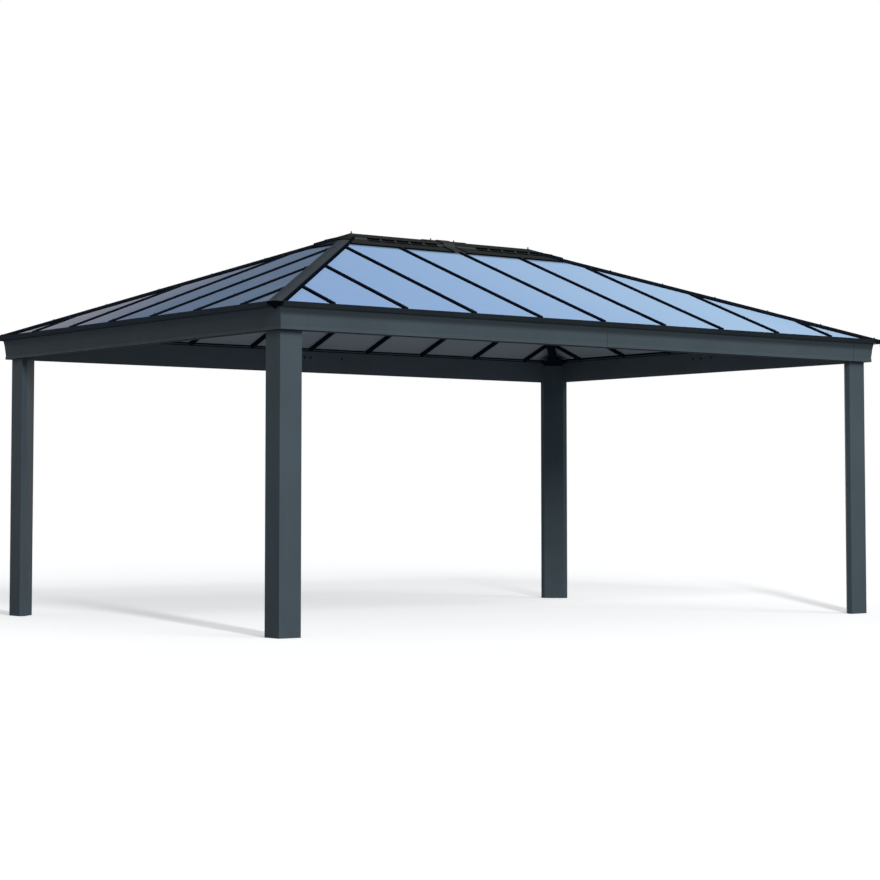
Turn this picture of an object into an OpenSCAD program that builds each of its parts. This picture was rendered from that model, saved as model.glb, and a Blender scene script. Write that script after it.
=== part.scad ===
// Metal gazebo: four pentagonal posts, a perimeter of beams and fascias, and a hipped roof of
// sheet panels held by H-section bars, with a slotted vent along the ridge.
// Millimetres, +Z up. The origin is on the ground at the centre of the four posts.
// X runs along the long side, and the front is the long side at -Y.

/* [Posts] */
// Outer face to outer face of the posts along the long side
post_span_x = 5900; // [5000:10:6500]
// Outer face to outer face of the posts along the short side
post_span_y = 4034; // [3400:2:4600]
// Width of a post's two outer faces
post_w = 180; // [150:1:220]
// Depth of the short return beside each outer face
post_return = 48; // [40:1:60]
// Wall thickness of a post
post_wall = 3; // [2:0.5:5]
// Height of a post
post_h = 2272; // [2000:1:2600]
// Thickness of the foot plate inside a post
foot_t = 8; // [5:1:15]
// Diameter of an anchor hole in a foot plate
anchor_d = 12; // [9:0.5:14]
// Distance between the two anchor holes of a foot plate
anchor_spacing = 50; // [40:2:56]
// Distance from a post's end face to the middle of its anchor holes
anchor_in_x = 75.6; // [70:0.1:90]
// Distance from a post's front or back face to its anchor holes
anchor_in_y = 54; // [40:1:60]

/* [Beams and fascias] */
// How far the beams rise above the posts' tops
beam_over = 28; // [15:1:40]
// Height of a beam
beam_h = 186; // [170:1:188]
// Wall thickness of a beam
beam_wall = 3; // [2:0.5:4]
// Height of a fascia
fascia_h = 154; // [146:1:160]
// How far a long fascia's foot stands out from the posts
fascia_out_y = 57; // [45:1:62]
// How far a short fascia's foot stands out from the posts
fascia_out_x = 33; // [28:1:62]
// How much further out the top of a fascia's face stands
fascia_lean = 6; // [2:1:10]
// Height of the bead along a fascia's foot
bead_h = 24; // [16:1:36]
// How far the bead stands proud of the face above it
bead_out = 3; // [1:0.5:6]
// Height of the flared band along a fascia's top
band_h = 41; // [30:1:55]
// How far the band flares out from its foot to its head
band_flare = 8; // [4:1:30]
// Sheet thickness of a fascia
fascia_wall = 3; // [2:0.5:4]
// Length of a corner piece's legs, from the post's outer corner
corner_leg = 190; // [150:5:260]
// Joint between two lengths of fascia
fascia_seam = 1; // [0.5:0.5:3]
// How far the sheets of a long side reach out from the posts
eave_out_y = 23; // [20:1:40]
// How far the sheets of a short side reach out from the posts
eave_out_x = 35; // [20:1:50]
// Width of the gutter outside the sheets' feet
gutter_w = 70; // [68:1:90]
// Height of the gutter's rim
rim_h = 37; // [20:1:45]
// Thickness of the gutter's rim and floor
rim_t = 4; // [2:0.5:6]
// How far the sheets overhang the gutter's inner wall
drip = 10; // [4:1:14]
// Sheet thickness of the hollow rail under the sheets' feet
trim_wall = 2; // [1.5:0.5:3]

/* [Roof] */
// Pitch of all four slopes
pitch = 21; // [19.5:0.05:22]
// Height of the sheets' top face at the eave, above the fascias
eave_lift = 40; // [36:1:50]
// Thickness of a roof sheet
sheet_t = 6; // [4:0.5:10]
// Spacing of the glazing bars
bar_pitch = 630; // [450:5:800]
// Least distance along an eave from its corner to the first bar
bar_clear = 200; // [160:10:240]
// Width of a glazing bar's top flange
flange_w = 30; // [24:1:44]
// Thickness of a glazing bar's top flange
flange_t = 14; // [4:0.5:18]
// Thickness of a glazing bar's web
web_t = 4; // [3:0.5:6]
// Width of a glazing bar's lower box
stem_w = 30; // [24:1:50]
// Depth of a glazing bar's lower box
stem_d = 27; // [20:1:32]
// Play between a sheet and the bar that holds it
sheet_play = 0.3; // [0.2:0.1:1]
// Distance in plan from the sheets' edges to the hip line
hip_gap = 20; // [10:1:28]
// Width at which a sheet's sharp corner at the eave is cut off
sheet_tip = 30; // [20:1:60]
// Distance from the sheets' upper ends to the ridge beam's sides
ridge_gap = 12; // [5:1:20]
// Gap where a bar, a trim or a cap stops at the next piece
fit = 3; // [1:0.5:5]

/* [Hips] */
// Width of a hip rafter
rafter_w = 66; // [56:1:100]
// Depth of a hip rafter below the hip line
rafter_d = 80; // [74:1:86]
// Wall thickness of a hip rafter
rafter_wall = 3; // [2:0.5:5]
// Width of a hip cap
cap_w = 98; // [90:1:120]
// Height of a hip cap's edges above the sheets
cap_rise = 29; // [25:1:40]
// Rise of a hip cap's top from its edges to its middle
cap_crown = 6; // [2:1:12]
// Gap between a hip cap's feet and the sheets
cap_foot = 1; // [0.5:0.5:3]
// Sheet thickness of the hip caps and the ridge vent
cap_t = 3; // [2:0.5:4]
// How far a hip cap reaches past the eaves, along X and along Y
cap_overhang = 72; // [60:1:80]
// Height of the pointed plate that closes a hip cap's lower end
end_cap_h = 60; // [45:1:70]
// Width of that plate
end_cap_w = 112; // [98:1:130]
// Height of that plate at its two sides
end_cap_side = 14; // [8:1:24]
// Width of a post bracket across its wings
bracket_w = 254; // [200:2:256]
// Length of a post bracket along the hip rafter
bracket_l = 170; // [150:5:320]
// Plate thickness of a post bracket
bracket_t = 5; // [3:0.5:6]

/* [Ridge vent] */
// Distance from the ridge beam's end to the point where the hips meet
ridge_in = 19; // [10:1:40]
// Width of the ridge beam
ridge_w = 80; // [60:2:90]
// Depth of the ridge beam below the sheets
ridge_d = 90; // [70:1:120]
// Height of the vent hood's ridge above the ridge of the sheets
hood_rise = 30; // [28:1:40]
// Half the width of the vent hood
hood_y = 93; // [88:1:120]
// Height of the hood's upright edge
hood_edge = 2; // [1:0.5:3]
// Half the width of the slotted riser below the hood
riser_y = 84; // [78:1:87]
// Half the width of the vent skirt at its foot
skirt_y = 245; // [180:1:300]
// Height of the vent skirt above the sheets
skirt_rise = 8; // [7:0.5:12]
// Number of slots in a row
slot_count = 5; // [3:1:5]
// Distance from the joiner to the left row of slots
slot_left = 59; // [20:1:120]
// Distance from the riser's right end to the right row of slots
slot_right = 14; // [10:1:60]
// Length of a slot
slot_l = 130; // [90:1:134]
// Spacing of the slots
slot_pitch = 147; // [138:1:150]
// Height of a slot
slot_h = 15; // [6:0.5:16]
// Width of the strip that joins the two halves of the vent
joiner_w = 120; // [80:2:180]
// Thickness of that strip over the hood
joiner_t = 9; // [3:0.5:14]
// Gap between the riser's head and the hood
hood_play = 1; // [0.5:0.5:2]
// Distance from the riser's head to its slots
slot_margin = 1.5; // [1:0.5:2]

/* [Hidden] */
slope_tan = tan(pitch);
slope_cos = cos(pitch);
corner_x = post_span_x / 2;
corner_y = post_span_y / 2;
beam_top = post_h + beam_over;
headroom = beam_top - beam_h;
fascia_top = headroom + fascia_h;
band_z = fascia_h - band_h;
eave_z = fascia_top + eave_lift;
// Half sizes of the eave's outline in plan
eave_x = corner_x + eave_out_x;
eave_y = corner_y + eave_out_y;
// Angle of a hip above the ground, and of the roof to each side of it in its own section
hip_angle = atan(slope_tan / sqrt(2));
hip_fall = (sin(pitch) / sqrt(2))
    / (sin(pitch) * sin(hip_angle) / sqrt(2) + slope_cos * cos(hip_angle));
// Where the two hips of one end would meet the ridge
hip_meet_x = eave_x - eave_y;
ridge_z = eave_z + eave_y * slope_tan;
ridge_half = hip_meet_x - ridge_in;
skirt_top = ridge_z + skirt_rise;
hood_z = ridge_z + hood_rise;
// Distance along an eave from the hip to a piece that stops beside the hip cap
cap_clear = (cap_w / 2 + fit) * sqrt(2);
// Width along X or Y that a fascia's wall takes up in its flared band
band_wall = fascia_wall * sqrt(1 + pow(band_flare / band_h, 2));
// Distance from the ridge line to the sheets' upper ends
sheet_head = ridge_w / 2 + ridge_gap;
beam_half_x = corner_x - post_w;
beam_half_y = corner_y - post_w;
fascia_near = fascia_seam / 2;
fascia_far = corner_x - corner_leg - fascia_seam;
anchor_x = corner_x - anchor_in_x;
anchor_y = corner_y - anchor_in_y;
// Larger than the whole gazebo, for cutting, and how far a cut runs past a face
beyond = 9000;
past = 1;
slate = [0.29, 0.33, 0.36];
charcoal = [0.2, 0.2, 0.2];
jet = [0.06, 0.06, 0.07];
sky_grey = [0.6, 0.7, 0.85];

// Signs of the X and Y sides of each corner
front_left = [-1, -1];
front_right = [1, -1];
back_left = [-1, 1];
back_right = [1, 1];
corners = [front_left, front_right, back_left, back_right];
// Bars lie to both sides of the middle of a long slope, and of a short slope's middle sheet
long_count = floor((eave_x - bar_clear) / bar_pitch);
short_count = floor((eave_y - bar_clear) / bar_pitch + 0.5);
long_bars = [for (i = [-long_count:long_count]) i * bar_pitch];
short_bars = [for (i = [-short_count:short_count - 1]) (i + 0.5) * bar_pitch];

// Puts a piece made at the back right at the corner with these signs
module at_corner(signs) {
    mirror([signs[0] < 0 ? 1 : 0, 0, 0])
        mirror([0, signs[1] < 0 ? 1 : 0, 0])
            children();
}

// Puts a piece made along the front at another side
module to_back() {
    mirror([0, 1, 0])
        children();
}
module to_left() {
    mirror([1, -1, 0])
        children();
}
module to_right() {
    mirror([1, 0, 0])
        mirror([1, -1, 0])
            children();
}

// Extrudes a section along X: its first axis becomes Y, and its second Z
module along_x(from, to) {
    translate([from, 0, 0])
        rotate([90, 0, 90])
            linear_extrude(to - from)
                children();
}

// Section of a post at the back right, taken in by an inset
function post_outline(inset) =
    let (corner_shift = inset * (sqrt(2) - 1))
    [
        [corner_x - inset, corner_y - inset],
        [corner_x - post_w + inset, corner_y - inset],
        [corner_x - post_w + inset, corner_y - post_return + corner_shift],
        [corner_x - post_return + corner_shift, corner_y - post_w + inset],
        [corner_x - inset, corner_y - post_w + inset]
    ];

module post(signs) {
    color(slate)
        at_corner(signs)
            difference() {
                linear_extrude(post_h)
                    polygon(post_outline(0));
                translate([0, 0, -past])
                    linear_extrude(post_h + 2 * past)
                        polygon(post_outline(post_wall));
            }
}

// Plates that close the feet of the posts, each with two holes for ground anchors
module foot_plates() {
    color(charcoal)
        for (signs = corners)
            at_corner(signs)
                difference() {
                    linear_extrude(foot_t)
                        polygon(post_outline(post_wall));
                    for (side = [-0.5, 0.5])
                        translate([anchor_x + side * anchor_spacing, anchor_y, -past])
                            cylinder(d = anchor_d, h = foot_t + 2 * past, $fn = 48);
                }
}

// Box beam along the front between two posts whose outer faces are at -face
module beam(half_length, face) {
    color(slate)
        along_x(-half_length, half_length)
            difference() {
                translate([-face, headroom])
                    square([post_return, beam_h]);
                translate([-face + beam_wall, headroom + beam_wall])
                    square([post_return - 2 * beam_wall, beam_h - 2 * beam_wall]);
            }
}

// How far a fascia's flared band stands out at a height
function band_out(out, z) = out + fascia_lean + (z - band_z) * band_flare / band_h;

// Section of a fascia: outwards from the post face, and up from its foot
function fascia_outline(out) = [
    [0, 0],
    [out, 0],
    [out, bead_h],
    [out - bead_out, bead_h + bead_out],
    [band_out(out, band_z), band_z],
    [band_out(out, fascia_h), fascia_h],
    [0, fascia_h]
];
function fascia_hollow(out, wall) =
    let (neck = out - bead_out - wall, head = fascia_h - wall)
    [
        [wall, wall],
        [neck, wall],
        [neck, bead_h + bead_out],
        [band_out(out, band_z) - band_wall, band_z],
        [band_out(out, head) - band_wall, head],
        [wall, head]
    ];

// Length of fascia along the front, on posts whose outer faces are at -face
module fascia_run(from, to, face, out) {
    along_x(from, to)
        translate([-face, headroom])
            mirror([1, 0])
                difference() {
                    polygon(fascia_outline(out));
                    polygon(fascia_hollow(out, fascia_wall));
                }
}

module long_fascia(from, to) {
    color(slate)
        fascia_run(from, to, corner_y, fascia_out_y);
}

module short_fascia() {
    half = corner_y - corner_leg - fascia_seam;
    color(slate)
        fascia_run(-half, half, corner_x, fascia_out_x);
}

// Half space on one side of the upright 45 degree plane through a front-left point
module mitre_half(x, y, long_side) {
    translate([x, y, 0])
        rotate([0, 0, 45])
            translate([-beyond, long_side ? -beyond : 0, 0])
                cube([2 * beyond, beyond, beyond]);
}

// Mitred corner piece of the fascia at the front left
module fascia_corner() {
    mitre_x = -corner_x - fascia_out_x;
    mitre_y = -corner_y - fascia_out_y;
    reach = fascia_out_x + fascia_out_y + fascia_lean + band_flare;
    intersection() {
        fascia_run(-corner_x - reach, -corner_x + corner_leg, corner_y, fascia_out_y);
        mitre_half(mitre_x, mitre_y, true);
    }
    intersection() {
        to_left()
            fascia_run(-corner_y - reach, -corner_y + corner_leg, corner_x, fascia_out_x);
        mitre_half(mitre_x, mitre_y, false);
    }
}

module fascia_corners() {
    color(slate)
        for (signs = corners)
            at_corner(signs)
                mirror([1, 0, 0])
                    to_back()
                        fascia_corner();
}

// Sections of an eave trim: a rail on the beam under the sheets' feet, its hollow, and a gutter
function trim_top(q, out, inset) =
    eave_z + (out - q) * slope_tan - (sheet_t + inset) / slope_cos - sheet_play;
function rail_outline(out, inset) =
    let (outer = out - drip - inset, inner = inset - post_return)
    [
        [inner, beam_top + inset],
        [inset, beam_top + inset],
        [inset, fascia_top + inset],
        [outer, fascia_top + inset],
        [outer, trim_top(outer, out, inset)],
        [inner, trim_top(inner, out, inset)]
    ];
function gutter_outline(out) =
    let (inner = out - drip - trim_wall, outer = out + gutter_w, rim = fascia_top + rim_h)
    [
        [inner, fascia_top],
        [outer, fascia_top],
        [outer, rim],
        [outer - rim_t, rim],
        [outer - rim_t, fascia_top + rim_t],
        [inner, fascia_top + rim_t]
    ];

// Eave trim along the front, mitred at the hips, with its rim stopped beside the hip caps
module eave_trim(face, out, hip_half) {
    corner_half = hip_half + gutter_w - fit;
    rim_half = hip_half + gutter_w - cap_clear;
    color(jet)
        difference() {
            intersection() {
                along_x(-corner_half, corner_half)
                    translate([-face, 0])
                        mirror([1, 0])
                            union() {
                                difference() {
                                    polygon(rail_outline(out, 0));
                                    polygon(rail_outline(out, trim_wall));
                                }
                                polygon(gutter_outline(out));
                            }
                translate([0, -face - out - gutter_w, 0])
                    linear_extrude(beyond)
                        polygon([[-corner_half, 0], [corner_half, 0], [0, corner_half]]);
            }
            for (side = [rim_half, -rim_half - beyond])
                translate([side, -face - out - gutter_w - past, fascia_top + rim_t])
                    cube([beyond, rim_t + 2 * past, beyond]);
        }
}

// Lays a piece on the front slope: X along the eave, Y up the slope, Z out of the sheets' top
module on_slope(depth) {
    translate([0, -depth, eave_z])
        rotate([pitch, 0, 0])
            children();
}

// Distance up the slope at which a line parallel to the hips is met
function hip_v(u, half, inset) = (half - inset - abs(u)) / slope_cos;

// Outline of the sheet between two bars, cut by the hips and by the ridge
function sheet_outline(from, to, half, top) =
    let (turn = half - hip_gap - top * slope_cos)
    concat(
        [[from, 0], [to, 0], [to, min(top, hip_v(to, half, hip_gap))]],
        [for (u = [turn, -turn]) if (from < u && u < to) [u, top]],
        [[from, min(top, hip_v(from, half, hip_gap))]]
    );

module roof_sheets(bars, half, depth) {
    top = (eave_y - sheet_head) / slope_cos;
    side = web_t / 2 + sheet_play;
    tip = half - hip_gap - sheet_tip;
    last = len(bars) - 1;
    edges = concat(
        [[-tip, bars[0] - side]],
        [for (i = [0:last - 1]) [bars[i] + side, bars[i + 1] - side]],
        [[bars[last] + side, tip]]
    );
    color(sky_grey)
        on_slope(depth)
            for (edge = edges)
                translate([0, 0, -sheet_t])
                    linear_extrude(sheet_t)
                        polygon(sheet_outline(edge[0], edge[1], half, top));
}

// Strip of a glazing bar, cut by the hip or the ridge at its upper end
module bar_strip(u, width, foot, top, half, inset) {
    left = u - width / 2;
    right = u + width / 2;
    polygon([
        [left, foot],
        [right, foot],
        [right, min(top, hip_v(right, half, inset))],
        [left, min(top, hip_v(left, half, inset))]
    ]);
}

// H-section bars: a lower box, a web between the sheets and a flange over their edges
module glazing_bars(bars, half, depth, out) {
    stem_foot = (out + post_return) / slope_cos;
    stem_top = (eave_y - ridge_w / 2) / slope_cos - (sheet_t + stem_d) * slope_tan;
    web_top = (eave_y - sheet_head) / slope_cos;
    flange_top = (eave_y - skirt_y - fit) / slope_cos;
    stem_inset = rafter_w / sqrt(2) + fit;
    color(jet)
        on_slope(depth)
            for (u = bars) {
                translate([0, 0, -sheet_t - stem_d])
                    linear_extrude(stem_d)
                        bar_strip(u, stem_w, stem_foot, stem_top, half, stem_inset);
                translate([0, 0, -sheet_t - web_t])
                    linear_extrude(sheet_t + web_t)
                        bar_strip(u, web_t, stem_foot, web_top, half, stem_inset);
                translate([0, 0, -sheet_t])
                    linear_extrude(sheet_t + sheet_play + flange_t / 2)
                        bar_strip(u, web_t, 0, flange_top, half, cap_clear);
                translate([0, 0, sheet_play])
                    linear_extrude(flange_t)
                        bar_strip(u, flange_w, 0, flange_top, half, cap_clear);
            }
}

// Lays a piece on the back-right hip: X up the hip from the eave's corner, Z square to it
module on_hip() {
    translate([eave_x, eave_y, eave_z])
        rotate([0, 0, 225])
            rotate([0, -hip_angle, 0])
                children();
}

// Distance along the hip of a point this far in from both eaves
function hip_s(d) = d * sqrt(2) / cos(hip_angle);

// Section of a hip rafter, with its top under both slopes
function rafter_outline(inset) =
    let (half = rafter_w / 2 - inset, top = -sheet_t / cos(atan(hip_fall)) - sheet_play - inset)
    [
        [0, top],
        [half, top - half * hip_fall],
        [half, -rafter_d + inset],
        [-half, -rafter_d + inset],
        [-half, top - half * hip_fall]
    ];

// Hip rafter from the post bracket to the ridge beam
module hip_rafter(signs) {
    color(jet)
        at_corner(signs)
            intersection() {
                on_hip()
                    along_x(0, hip_s(eave_y + rafter_w))
                        difference() {
                            polygon(rafter_outline(0));
                            polygon(rafter_outline(rafter_wall));
                        }
                translate([ridge_half, sheet_play, post_h + bracket_t])
                    cube([
                        corner_x - post_return - ridge_half,
                        corner_y - post_return - sheet_play,
                        beyond
                    ]);
            }
}

// Hip cap: an inverted channel with a low crown over the joint of two slopes
module hip_cap(signs) {
    half = cap_w / 2;
    edge = cap_rise - half * hip_fall;
    foot = cap_foot - half * hip_fall;
    color(charcoal)
        at_corner(signs)
            on_hip()
                along_x(hip_s(-cap_overhang), hip_s(eave_y - riser_y - fit))
                    polygon([
                        [0, edge + cap_crown],
                        [half, edge],
                        [half, foot],
                        [half - cap_t, foot],
                        [half - cap_t, edge - cap_t],
                        [0, edge + cap_crown - cap_t],
                        [-half + cap_t, edge - cap_t],
                        [-half + cap_t, foot],
                        [-half, foot],
                        [-half, edge]
                    ]);
}

// Pointed plates that close the lower ends of the hip caps
module hip_end_caps() {
    half = end_cap_w / 2;
    edge = cap_rise - cap_w / 2 * hip_fall;
    color(jet)
        for (signs = corners)
            at_corner(signs)
                on_hip()
                    along_x(hip_s(-cap_overhang) - cap_t, hip_s(-cap_overhang))
                        polygon([
                            [0, edge + cap_crown],
                            [half, edge],
                            [half, edge - end_cap_side],
                            [0, edge + cap_crown - end_cap_h],
                            [-half, edge - end_cap_side],
                            [-half, edge]
                        ]);
}

// Plates on the posts' tops, each with a winged tongue that runs up under the hip rafter
module post_brackets() {
    post_d = (post_w + post_return + eave_x - corner_x + eave_y - corner_y) / 2;
    tongue_foot = hip_s(post_d - post_return);
    wing_s = hip_s(post_d + post_return);
    tongue_head = hip_s(post_d) + bracket_l;
    color(jet)
        for (signs = corners)
            at_corner(signs)
                union() {
                    translate([0, 0, post_h])
                        linear_extrude(bracket_t)
                            polygon(post_outline(0));
                    intersection() {
                        on_hip()
                            translate([0, 0, -rafter_d - bracket_t])
                                linear_extrude(bracket_t)
                                    polygon([
                                        [tongue_foot, -rafter_w / 2],
                                        [wing_s, -bracket_w / 2],
                                        [tongue_head, -rafter_w / 2],
                                        [tongue_head, rafter_w / 2],
                                        [wing_s, bracket_w / 2],
                                        [tongue_foot, rafter_w / 2]
                                    ]);
                        translate([0, 0, post_h])
                            cube(beyond);
                    }
                }
}

// Section of the ridge beam, with its top parallel to the slopes
function ridge_outline(inset) =
    let (half = ridge_w / 2 - inset, top = ridge_z - (sheet_t + inset) / slope_cos)
    [
        [0, top],
        [half, top - half * slope_tan],
        [half, ridge_z - ridge_d + inset],
        [-half, ridge_z - ridge_d + inset],
        [-half, top - half * slope_tan]
    ];

module ridge_beam() {
    color(jet)
        along_x(-ridge_half, ridge_half)
            difference() {
                polygon(ridge_outline(0));
                polygon(ridge_outline(beam_wall));
            }
}

// Solid hipped block over the ridge: its top, its half width, and the depth of its upright sides
module hipped(top, width, drop) {
    foot = top - width * slope_tan;
    reach = hip_meet_x + width;
    intersection() {
        along_x(-reach, reach)
            polygon([[-width, foot - drop], [width, foot - drop], [width, foot], [0, top], [-width, foot]]);
        to_left()
            along_x(-width, width)
                polygon([
                    [-reach, foot - drop],
                    [reach, foot - drop],
                    [reach, foot],
                    [hip_meet_x, top],
                    [-hip_meet_x, top],
                    [-reach, foot]
                ]);
    }
}

// Skirt of the vent around the riser: four plates with turned-down feet, between the hip caps
module vent_skirt() {
    hole_y = riser_y + sheet_play;
    hole_x = hip_meet_x + hole_y;
    clear = cap_w / 2 + fit;
    drop = skirt_rise - sheet_play - cap_t * slope_tan;
    color(charcoal)
        difference() {
            hipped(skirt_top, skirt_y, drop);
            hipped(skirt_top - cap_t / slope_cos, skirt_y - cap_t, skirt_rise);
            translate([-hole_x, -hole_y, 0])
                cube([2 * hole_x, 2 * hole_y, beyond]);
            for (signs = corners)
                at_corner(signs)
                    on_hip()
                        translate([0, -clear, -beyond])
                            cube([hip_s(eave_y), 2 * clear, 2 * beyond]);
        }
}

// Slotted upright frame between the skirt and the hood
module vent_riser() {
    outer_x = hip_meet_x + riser_y;
    inner_x = outer_x - cap_t;
    inner_y = riser_y - cap_t;
    foot = ridge_z - inner_y * slope_tan + sheet_play;
    head = hood_z - (riser_y + hood_play) * slope_tan - cap_t / slope_cos;
    slot_z = head - slot_h - slot_margin;
    row_l = (slot_count - 1) * slot_pitch + slot_l;
    rows = [-joiner_w / 2 - slot_left - row_l, inner_x - slot_right - row_l];
    color(charcoal)
        difference() {
            translate([-outer_x, -riser_y, foot])
                cube([2 * outer_x, 2 * riser_y, head - foot]);
            translate([-inner_x, -inner_y, foot - past])
                cube([2 * inner_x, 2 * inner_y, head - foot + 2 * past]);
            for (row = rows, i = [0:slot_count - 1])
                translate([row + i * slot_pitch, -riser_y - past, slot_z])
                    cube([slot_l, 2 * (riser_y + past), slot_h]);
            translate([-outer_x - past, -slot_l / 2, slot_z])
                cube([2 * (outer_x + past), slot_l, slot_h]);
        }
}

// Left or right half of the hood over the ridge
module vent_hood(side) {
    color(charcoal)
        intersection() {
            difference() {
                hipped(hood_z, hood_y, hood_edge);
                hipped(hood_z - cap_t / slope_cos, hood_y - cap_t, hood_rise);
            }
            translate([side > 0 ? fascia_seam / 2 : -beyond - fascia_seam / 2, -beyond / 2, 0])
                cube([beyond, beyond, beyond]);
        }
}

// Half of the joiner's section: over the hood, down past the slots, and over the skirt and its foot
function joiner_side() =
    let (
        edge = hood_y + sheet_play,
        foot = skirt_y + sheet_play,
        lap = cap_t / slope_cos,
        hood_seat = hood_z + sheet_play,
        hood_lap = hood_seat + joiner_t / slope_cos,
        skirt_lap = skirt_top + sheet_play + lap,
        foot_z = ridge_z + sheet_play - foot * slope_tan
    )
    [
        [0, hood_lap],
        [edge + cap_t, hood_lap - (edge + cap_t) * slope_tan],
        [edge + cap_t, skirt_lap - (edge + cap_t) * slope_tan],
        [foot + cap_t, skirt_lap - (foot + cap_t) * slope_tan],
        [foot + cap_t, foot_z],
        [foot, foot_z],
        [foot, skirt_lap - lap - foot * slope_tan],
        [edge, skirt_lap - lap - edge * slope_tan],
        [edge, hood_seat - edge * slope_tan],
        [0, hood_seat]
    ];

module vent_joiner() {
    side = joiner_side();
    last = len(side) - 1;
    color(charcoal)
        along_x(-joiner_w / 2, joiner_w / 2)
            polygon(concat(side, [for (i = [last - 1:-1:1]) [-side[i][0], side[i][1]]]));
}

// The long sides' trims, sheets and bars, and the short sides'
module long_trim() {
    eave_trim(corner_y, eave_out_y, eave_x);
}
module short_trim() {
    eave_trim(corner_x, eave_out_x, eave_y);
}
module long_sheets() {
    roof_sheets(long_bars, eave_x, eave_y);
}
module short_sheets() {
    roof_sheets(short_bars, eave_y, eave_x);
}
module long_glazing_bars() {
    glazing_bars(long_bars, eave_x, eave_y, eave_out_y);
}
module short_glazing_bars() {
    glazing_bars(short_bars, eave_y, eave_x, eave_out_x);
}

post(front_left);  // post_front_left
post(front_right);  // post_front_right
post(back_left);  // post_back_left
post(back_right);  // post_back_right
foot_plates();
post_brackets();
beam(beam_half_x, corner_y);  // front_beam
to_back() beam(beam_half_x, corner_y);  // back_beam
to_left() beam(beam_half_y, corner_x);  // left_beam
to_right() beam(beam_half_y, corner_x);  // right_beam
long_fascia(-fascia_far, -fascia_near);  // front_fascia_left
long_fascia(fascia_near, fascia_far);  // front_fascia_right
to_back() long_fascia(-fascia_far, -fascia_near);  // back_fascia_left
to_back() long_fascia(fascia_near, fascia_far);  // back_fascia_right
to_left() short_fascia();  // left_fascia
to_right() short_fascia();  // right_fascia
fascia_corners();
long_trim();  // front_eave_trim
to_back() long_trim();  // back_eave_trim
to_left() short_trim();  // left_eave_trim
to_right() short_trim();  // right_eave_trim
long_sheets();  // front_roof_sheets
to_back() long_sheets();  // back_roof_sheets
to_left() short_sheets();  // left_roof_sheets
to_right() short_sheets();  // right_roof_sheets
long_glazing_bars();  // front_glazing_bars
to_back() long_glazing_bars();  // back_glazing_bars
to_left() short_glazing_bars();  // left_glazing_bars
to_right() short_glazing_bars();  // right_glazing_bars
hip_rafter(front_left);  // hip_rafter_front_left
hip_rafter(front_right);  // hip_rafter_front_right
hip_rafter(back_left);  // hip_rafter_back_left
hip_rafter(back_right);  // hip_rafter_back_right
hip_cap(front_left);  // hip_cap_front_left
hip_cap(front_right);  // hip_cap_front_right
hip_cap(back_left);  // hip_cap_back_left
hip_cap(back_right);  // hip_cap_back_right
hip_end_caps();
ridge_beam();
vent_skirt();
vent_riser();
vent_hood(-1);  // vent_hood_left
vent_hood(1);  // vent_hood_right
vent_joiner();
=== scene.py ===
# Metal gazebo on a pale studio floor, seen from in front of its left corner.
import math

import bmesh
import bpy
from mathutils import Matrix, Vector


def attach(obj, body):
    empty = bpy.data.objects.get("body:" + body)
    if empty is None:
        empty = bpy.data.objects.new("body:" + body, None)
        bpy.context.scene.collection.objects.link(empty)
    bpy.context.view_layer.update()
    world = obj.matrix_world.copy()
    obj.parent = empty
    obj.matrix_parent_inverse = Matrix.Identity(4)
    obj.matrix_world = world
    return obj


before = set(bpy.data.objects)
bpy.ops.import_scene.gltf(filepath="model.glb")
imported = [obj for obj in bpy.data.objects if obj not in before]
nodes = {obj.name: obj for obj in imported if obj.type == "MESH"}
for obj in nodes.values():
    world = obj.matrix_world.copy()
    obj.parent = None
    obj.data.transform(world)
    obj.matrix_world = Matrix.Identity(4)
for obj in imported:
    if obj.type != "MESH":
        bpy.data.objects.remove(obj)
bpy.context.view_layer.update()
scene = bpy.context.scene

# Sizes repeated from the part's source, in metres
CORNER_X = 2.95
CORNER_Y = 2.017
CORNER_LEG = 0.19
POST_RETURN = 0.048
HEADROOM = 2.114
BEAM_TOP = 2.3
FASCIA_TOP = 2.268
EAVE_X = 2.985
EAVE_Y = 2.04
EAVE_Z = 2.308
GUTTER_W = 0.07
RIM_T = 0.004
PITCH = math.radians(21)
HIP_MEET = EAVE_X - EAVE_Y
HIP_UP = math.atan(math.tan(PITCH) / math.sqrt(2))
RIDGE_Z = EAVE_Z + EAVE_Y * math.tan(PITCH)
BAR_PITCH = 0.63
LONG_BARS = [i * BAR_PITCH for i in range(-4, 5)]
SHORT_BARS = [(i + 0.5) * BAR_PITCH for i in range(-3, 3)]
FLANGE_W = 0.03
FLANGE_TOP = 0.0143
CAP_W = 0.098
CAP_PLAY = 0.003
CAP_CLEAR = (CAP_W / 2 + CAP_PLAY) * math.sqrt(2)
CAP_CREST = 0.0222
SKIRT_Y = 0.245
SKIRT_PLAY = 0.003
HOOD_Z = RIDGE_Z + 0.03
HOOD_Y = 0.093
JOINER_W = 0.12
RISER_X = 1.026
RISER_Y = 0.081
SLOT_Z = RIDGE_Z - 0.0223
SLOT_H = 0.015
SLOT_ROWS = (-0.837, 0.294)
SLOT_PITCH = 0.147
SLOT_SHARE = 0.884
SIDES = ("front", "back", "left", "right")
LONG_SIDES = ("front", "back")
CORNER_SIGNS = [(sx, sy) for sx in (-1, 1) for sy in (-1, 1)]

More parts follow.
